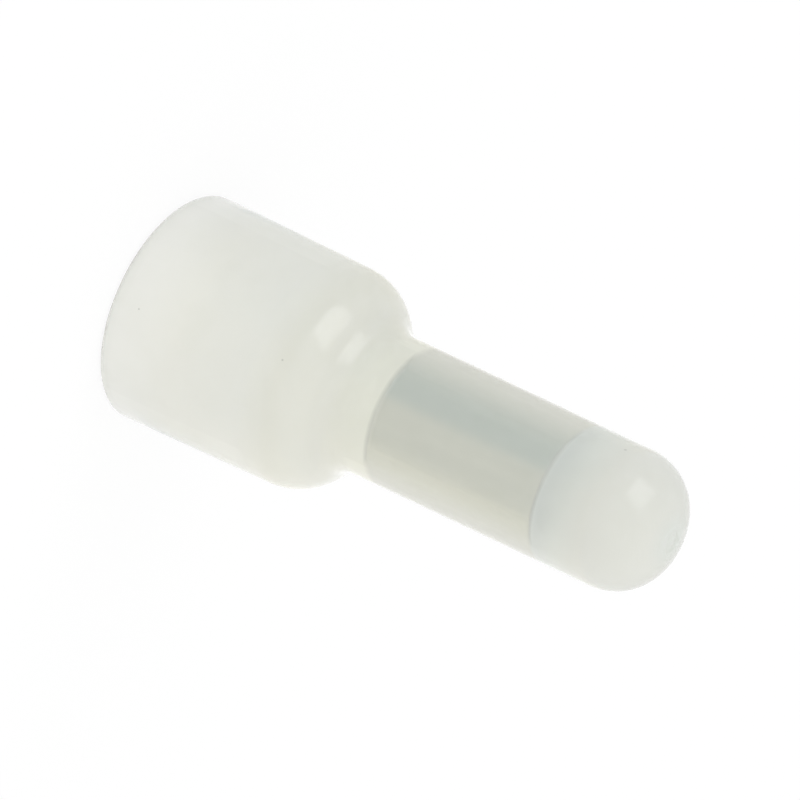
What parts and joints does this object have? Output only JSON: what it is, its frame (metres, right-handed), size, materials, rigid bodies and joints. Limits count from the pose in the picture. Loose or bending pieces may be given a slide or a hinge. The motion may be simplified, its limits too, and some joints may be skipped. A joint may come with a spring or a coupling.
{
  "type": "closed end splice connector",
  "caption": "Closed end splice connector: milky nylon cap with a wide wire-entry skirt, narrow crimp barrel and domed end, holding a tinned copper crimp sleeve.",
  "frame": {"origin": "centre of the mouth's rim, on the plane that the cap stands on", "axes": "+Z along the axis from the open mouth to the closed end; X and Y are free, since the part is turned about Z"},
  "size_m": [0.0084, 0.0084, 0.0217],
  "materials": {
    "natural_nylon": "milky translucent natural nylon, satin",
    "tinned_copper": "tin plate on drawn copper tube, satin"
  },
  "bodies": {
    "root": {"insulating_cap": "natural_nylon", "crimp_sleeve": "tinned_copper"}
  },
  "joints": []
}
